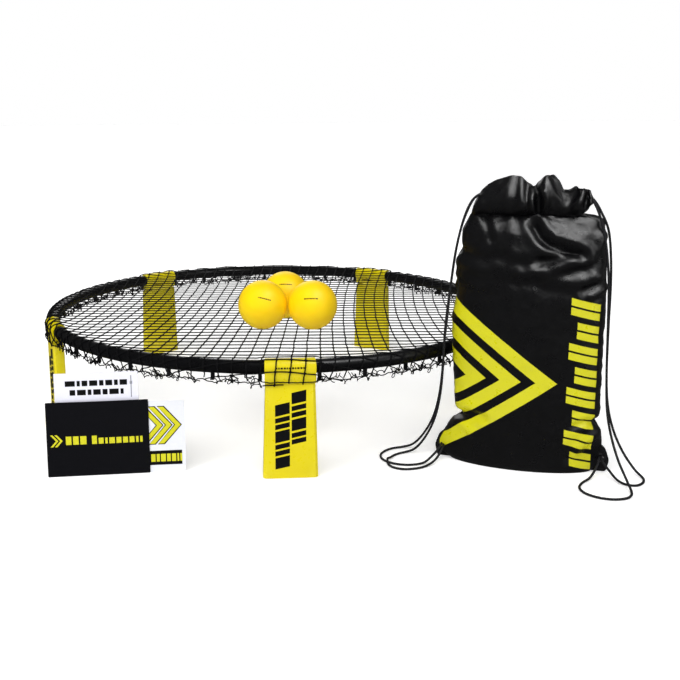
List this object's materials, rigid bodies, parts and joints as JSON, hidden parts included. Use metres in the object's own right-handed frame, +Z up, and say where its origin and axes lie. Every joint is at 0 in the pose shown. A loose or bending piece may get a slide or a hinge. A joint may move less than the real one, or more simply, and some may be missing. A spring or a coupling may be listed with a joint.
{
  "type": "roundnet set",
  "caption": "Round net stretched on a black tubular ring with folding yellow legs, with yellow balls, a stuffed black drawstring bag, a card, a leaflet and a sticker sheet.",
  "frame": {"origin": "middle of the set's box without its loose drawstrings, on the ground; the centre of the ring is 42 mm to -X and 2 mm to +Y of it", "axes": "+Z up; +X to the right of a player who faces the printed front leg, towards the bag; +Y away from that player"},
  "size_m": [1.053, 1.0147, 0.484],
  "materials": {
    "rim_black": "satin black plastic",
    "leg_yellow": "glossy moulded yellow plastic with a black print",
    "pin_steel": "plain steel pin",
    "net_twine": "black knotted nylon twine",
    "ball_rubber": "smooth yellow rubber",
    "valve_rubber": "yellow rubber plug",
    "bag_nylon": "glossy coated black nylon with a yellow print",
    "tab_vinyl": "black vinyl patch",
    "eyelet_metal": "black lacquered eyelet",
    "cord_black": "black braided polyester cord",
    "leaflet_paper": "white coated paper with a black print",
    "card_black": "black satin card with a yellow print",
    "sticker_white": "white glossy sticker sheet with a yellow print"
  },
  "bodies": {
    "ring": {"rim_tube_1": "rim_black", "rim_tube_2": "rim_black", "rim_tube_3": "rim_black", "rim_tube_4": "rim_black", "rim_tube_5": "rim_black", "net_hooks_1": "rim_black", "net_hooks_2": "rim_black", "net_hooks_3": "rim_black", "net_hooks_4": "rim_black", "net_hooks_5": "rim_black", "head_front": "leg_yellow", "head_right": "leg_yellow", "head_back_right": "leg_yellow", "head_back_left": "leg_yellow", "head_left": "leg_yellow", "hinge_pins": "pin_steel", "net": "net_twine", "net_edge": "net_twine"},
    "leg_front": {"leg_front": "leg_yellow"},
    "leg_right": {"leg_right": "leg_yellow"},
    "leg_back_right": {"leg_back_right": "leg_yellow"},
    "leg_back_left": {"leg_back_left": "leg_yellow"},
    "leg_left": {"leg_left": "leg_yellow"},
    "ball_left": {"ball_left": "ball_rubber", "valve_left": "valve_rubber"},
    "ball_right": {"ball_right": "ball_rubber", "valve_right": "valve_rubber"},
    "ball_back": {"ball_back": "ball_rubber", "valve_back": "valve_rubber"},
    "bag": {"bag_front": "bag_nylon", "bag_back": "bag_nylon", "bag_hem": "bag_nylon", "corner_tab_left": "tab_vinyl", "corner_tab_right": "tab_vinyl", "eyelets": "eyelet_metal", "knots": "cord_black", "cord_left_outer": "cord_black", "cord_left_inner": "cord_black", "cord_right_outer": "cord_black", "cord_right_inner": "cord_black"},
    "leaflet": {"leaflet": "leaflet_paper"},
    "card": {"card": "card_black"},
    "sticker_sheet": {"sticker_sheet": "sticker_white"}
  },
  "joints": [
    {"name": "leg_front_fold", "type": "hinge", "parent": "ring", "child": "leg_front", "pos_m": [-0.01818, -0.43785, 0.1658], "axis": [0.9985, 0.0541, 0], "range_deg": [0, 90]},
    {"name": "leg_right_fold", "type": "hinge", "parent": "ring", "child": "leg_right", "pos_m": [0.38369, -0.11127, 0.1658], "axis": [0.2571, 0.9664, 0], "range_deg": [0, 90]},
    {"name": "leg_back_right_fold", "type": "hinge", "parent": "ring", "child": "leg_back_right", "pos_m": [0.19727, 0.37185, 0.1658], "axis": [-0.8396, 0.5432, 0], "range_deg": [0, 90]},
    {"name": "leg_back_left_fold", "type": "hinge", "parent": "ring", "child": "leg_back_left", "pos_m": [-0.31981, 0.34385, 0.1658], "axis": [-0.776, -0.6307, 0], "range_deg": [0, 90]},
    {"name": "leg_left_fold", "type": "hinge", "parent": "ring", "child": "leg_left", "pos_m": [-0.45297, -0.15658, 0.1658], "axis": [0.36, -0.933, 0], "range_deg": [0, 90]},
    {"name": "ball_left_lift", "type": "slide", "parent": "ring", "child": "ball_left", "axis": [0, 0, 1], "range_m": [0, 0.25]},
    {"name": "ball_right_lift", "type": "slide", "parent": "ring", "child": "ball_right", "axis": [0, 0, 1], "range_m": [0, 0.25]},
    {"name": "ball_back_lift", "type": "slide", "parent": "ring", "child": "ball_back", "axis": [0, 0, 1], "range_m": [0, 0.25]},
    {"name": "bag_lift", "type": "slide", "parent": "ring", "child": "bag", "axis": [0.5, -0.5, 0.7071], "range_m": [0, 0.3]},
    {"name": "leaflet_lift", "type": "slide", "parent": "ring", "child": "leaflet", "axis": [-0.7097, -0.0126, 0.7044], "range_m": [0, 0.22]},
    {"name": "card_lift", "type": "slide", "parent": "ring", "child": "card", "axis": [-0.7097, -0.0126, 0.7044], "range_m": [0, 0.2]},
    {"name": "sticker_sheet_slide", "type": "slide", "parent": "ring", "child": "sticker_sheet", "axis": [0.9945, 0.1045, 0], "range_m": [0, 0.09]}
  ]
}
